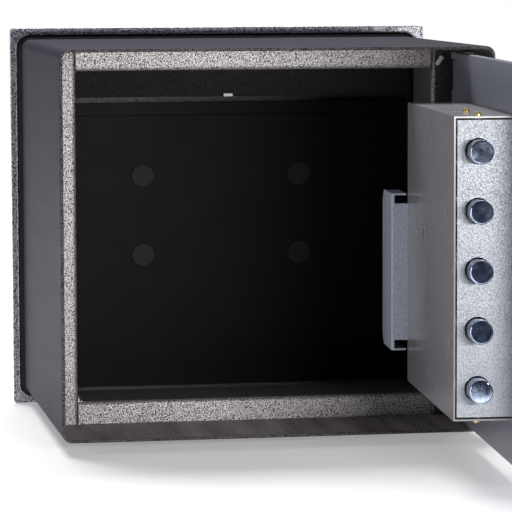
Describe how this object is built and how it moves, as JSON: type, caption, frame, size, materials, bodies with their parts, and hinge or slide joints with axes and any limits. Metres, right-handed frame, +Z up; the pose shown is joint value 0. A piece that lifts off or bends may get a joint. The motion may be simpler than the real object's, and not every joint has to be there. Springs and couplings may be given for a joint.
{
  "type": "in-room safe",
  "caption": "Steel room safe with a deep recessed doorway, side-hinged door on pivot pins, a column of round locking bolts, keypad and knob, and a rear anchor plate.",
  "frame": {"origin": "centre of the rear plate's outer face", "axes": "+Y out of the rear plate, into the wall; +Z up; the door and the bolts are on the -Y side, hinged on +X"},
  "size_m": [0.422, 0.6496, 0.377],
  "materials": {
    "body_paint": "smooth satin purple-grey powder coat",
    "anchor_paint": "silver-grey hammered powder coat",
    "seal_rubber": "dark sealant bead",
    "frame_hammer": "light silver hammered powder coat",
    "header_hammer": "dark grey hammered powder coat",
    "liner_paint": "smooth dark grey powder coat",
    "lamp_white": "milky lens",
    "mat_felt": "short dark felt",
    "door_paint": "smooth blue-grey powder coat",
    "pan_gloss": "smooth semi-gloss blue-grey paint",
    "box_steel": "dark blue-grey paint",
    "lock_hammer": "silver hammered powder coat",
    "bar_hammer": "light blue-grey hammered powder coat",
    "bolt_chrome": "polished chrome plate",
    "zinc_steel": "zinc-plated steel",
    "brass_parts": "turned yellow brass",
    "lock_nickel": "satin nickel plate",
    "knob_plastic": "black moulded plastic",
    "pad_plastic": "dark grey moulded plastic",
    "key_plastic": "light grey moulded plastic",
    "window_gloss": "smoked gloss window",
    "board_green": "green printed circuit board",
    "cell_wrap": "plain dark cell wrap"
  },
  "bodies": {
    "body": {"body_shell": "body_paint", "rear_plate": "anchor_paint", "rear_seal": "seal_rubber", "frame_lock_side": "frame_hammer", "frame_hinge_side": "frame_hammer", "frame_top": "frame_hammer", "frame_bottom": "frame_hammer", "header_panel": "header_hammer", "interior_lamp": "lamp_white", "rear_liner": "liner_paint", "hole_covers": "pad_plastic", "floor_mat": "mat_felt", "hinge_lug_upper": "door_paint", "hinge_lug_lower": "door_paint", "hinge_pins": "zinc_steel", "hinge_washer": "brass_parts"},
    "door": {"door_plate": "door_paint", "hinge_knuckle_upper": "door_paint", "hinge_knuckle_lower": "door_paint", "box_frame": "box_steel", "lock_face": "lock_hammer", "cover_pan": "pan_gloss", "cover_screws": "brass_parts", "service_plug": "pan_gloss", "dead_bar": "bar_hammer", "bolt_guide": "zinc_steel", "control_board": "board_green", "board_standoffs": "brass_parts", "battery_tray": "pad_plastic", "batteries": "cell_wrap", "solenoid_body": "zinc_steel", "plunger_spring": "zinc_steel", "spindle_bush": "brass_parts", "keypad_housing": "pad_plastic", "display_window": "window_gloss", "key_cylinder": "lock_nickel"},
    "boltwork": {"bolt_carrier": "zinc_steel", "bolt_1": "bolt_chrome", "bolt_2": "bolt_chrome", "bolt_3": "bolt_chrome", "bolt_4": "bolt_chrome", "bolt_5": "bolt_chrome", "carrier_nuts": "zinc_steel"},
    "plunger": {"solenoid_plunger": "zinc_steel"},
    "knob": {"turn_knob": "knob_plastic", "drive_spindle": "zinc_steel", "cam_disc": "zinc_steel"},
    "emergency_plug": {"key_plug": "brass_parts"},
    "pad_1": {"key_1": "key_plastic"},
    "pad_2": {"key_2": "key_plastic"},
    "pad_3": {"key_3": "key_plastic"},
    "pad_clear": {"key_clear": "key_plastic"},
    "pad_4": {"key_4": "key_plastic"},
    "pad_5": {"key_5": "key_plastic"},
    "pad_6": {"key_6": "key_plastic"},
    "pad_0": {"key_0": "key_plastic"},
    "pad_7": {"key_7": "key_plastic"},
    "pad_8": {"key_8": "key_plastic"},
    "pad_9": {"key_9": "key_plastic"},
    "pad_enter": {"key_enter": "key_plastic"}
  },
  "joints": [
    {"name": "door_hinge", "type": "hinge", "parent": "body", "child": "door", "pos_m": [0.187, -0.2695, 0], "axis": [0, 0, 1], "range_deg": [-86, 9]},
    {"name": "bolt_slide", "type": "slide", "parent": "door", "child": "boltwork", "axis": [-0.0698, -0.9976, 0], "range_m": [0, 0.024]},
    {"name": "knob_turn", "type": "hinge", "parent": "door", "child": "knob", "pos_m": [0.18447, -0.48485, -0.06], "axis": [0.9976, -0.0698, 0], "range_deg": [0, 90]},
    {"name": "plunger_drop", "type": "slide", "parent": "door", "child": "plunger", "axis": [0, 0, -1], "range_m": [0, 0.006], "stiffness_N_per_m": 300, "deforming": ["plunger_spring"]},
    {"name": "plug_turn", "type": "hinge", "parent": "door", "child": "emergency_plug", "pos_m": [0.1678, -0.43657, -0.06], "axis": [0.9976, -0.0698, 0], "range_deg": [0, 90]},
    {"name": "press_1", "type": "slide", "parent": "door", "child": "pad_1", "axis": [-0.9976, 0.0698, 0], "range_m": [0, 0.0015], "stiffness_N_per_m": 400},
    {"name": "press_2", "type": "slide", "parent": "door", "child": "pad_2", "axis": [-0.9976, 0.0698, 0], "range_m": [0, 0.0015], "stiffness_N_per_m": 400},
    {"name": "press_3", "type": "slide", "parent": "door", "child": "pad_3", "axis": [-0.9976, 0.0698, 0], "range_m": [0, 0.0015], "stiffness_N_per_m": 400},
    {"name": "press_clear", "type": "slide", "parent": "door", "child": "pad_clear", "axis": [-0.9976, 0.0698, 0], "range_m": [0, 0.0015], "stiffness_N_per_m": 400},
    {"name": "press_4", "type": "slide", "parent": "door", "child": "pad_4", "axis": [-0.9976, 0.0698, 0], "range_m": [0, 0.0015], "stiffness_N_per_m": 400},
    {"name": "press_5", "type": "slide", "parent": "door", "child": "pad_5", "axis": [-0.9976, 0.0698, 0], "range_m": [0, 0.0015], "stiffness_N_per_m": 400},
    {"name": "press_6", "type": "slide", "parent": "door", "child": "pad_6", "axis": [-0.9976, 0.0698, 0], "range_m": [0, 0.0015], "stiffness_N_per_m": 400},
    {"name": "press_0", "type": "slide", "parent": "door", "child": "pad_0", "axis": [-0.9976, 0.0698, 0], "range_m": [0, 0.0015], "stiffness_N_per_m": 400},
    {"name": "press_7", "type": "slide", "parent": "door", "child": "pad_7", "axis": [-0.9976, 0.0698, 0], "range_m": [0, 0.0015], "stiffness_N_per_m": 400},
    {"name": "press_8", "type": "slide", "parent": "door", "child": "pad_8", "axis": [-0.9976, 0.0698, 0], "range_m": [0, 0.0015], "stiffness_N_per_m": 400},
    {"name": "press_9", "type": "slide", "parent": "door", "child": "pad_9", "axis": [-0.9976, 0.0698, 0], "range_m": [0, 0.0015], "stiffness_N_per_m": 400},
    {"name": "press_enter", "type": "slide", "parent": "door", "child": "pad_enter", "axis": [-0.9976, 0.0698, 0], "range_m": [0, 0.0015], "stiffness_N_per_m": 400}
  ],
  "couplings": [
    {"joint": "knob_turn", "follows": "bolt_slide", "rad_per_m": 65.4}
  ]
}
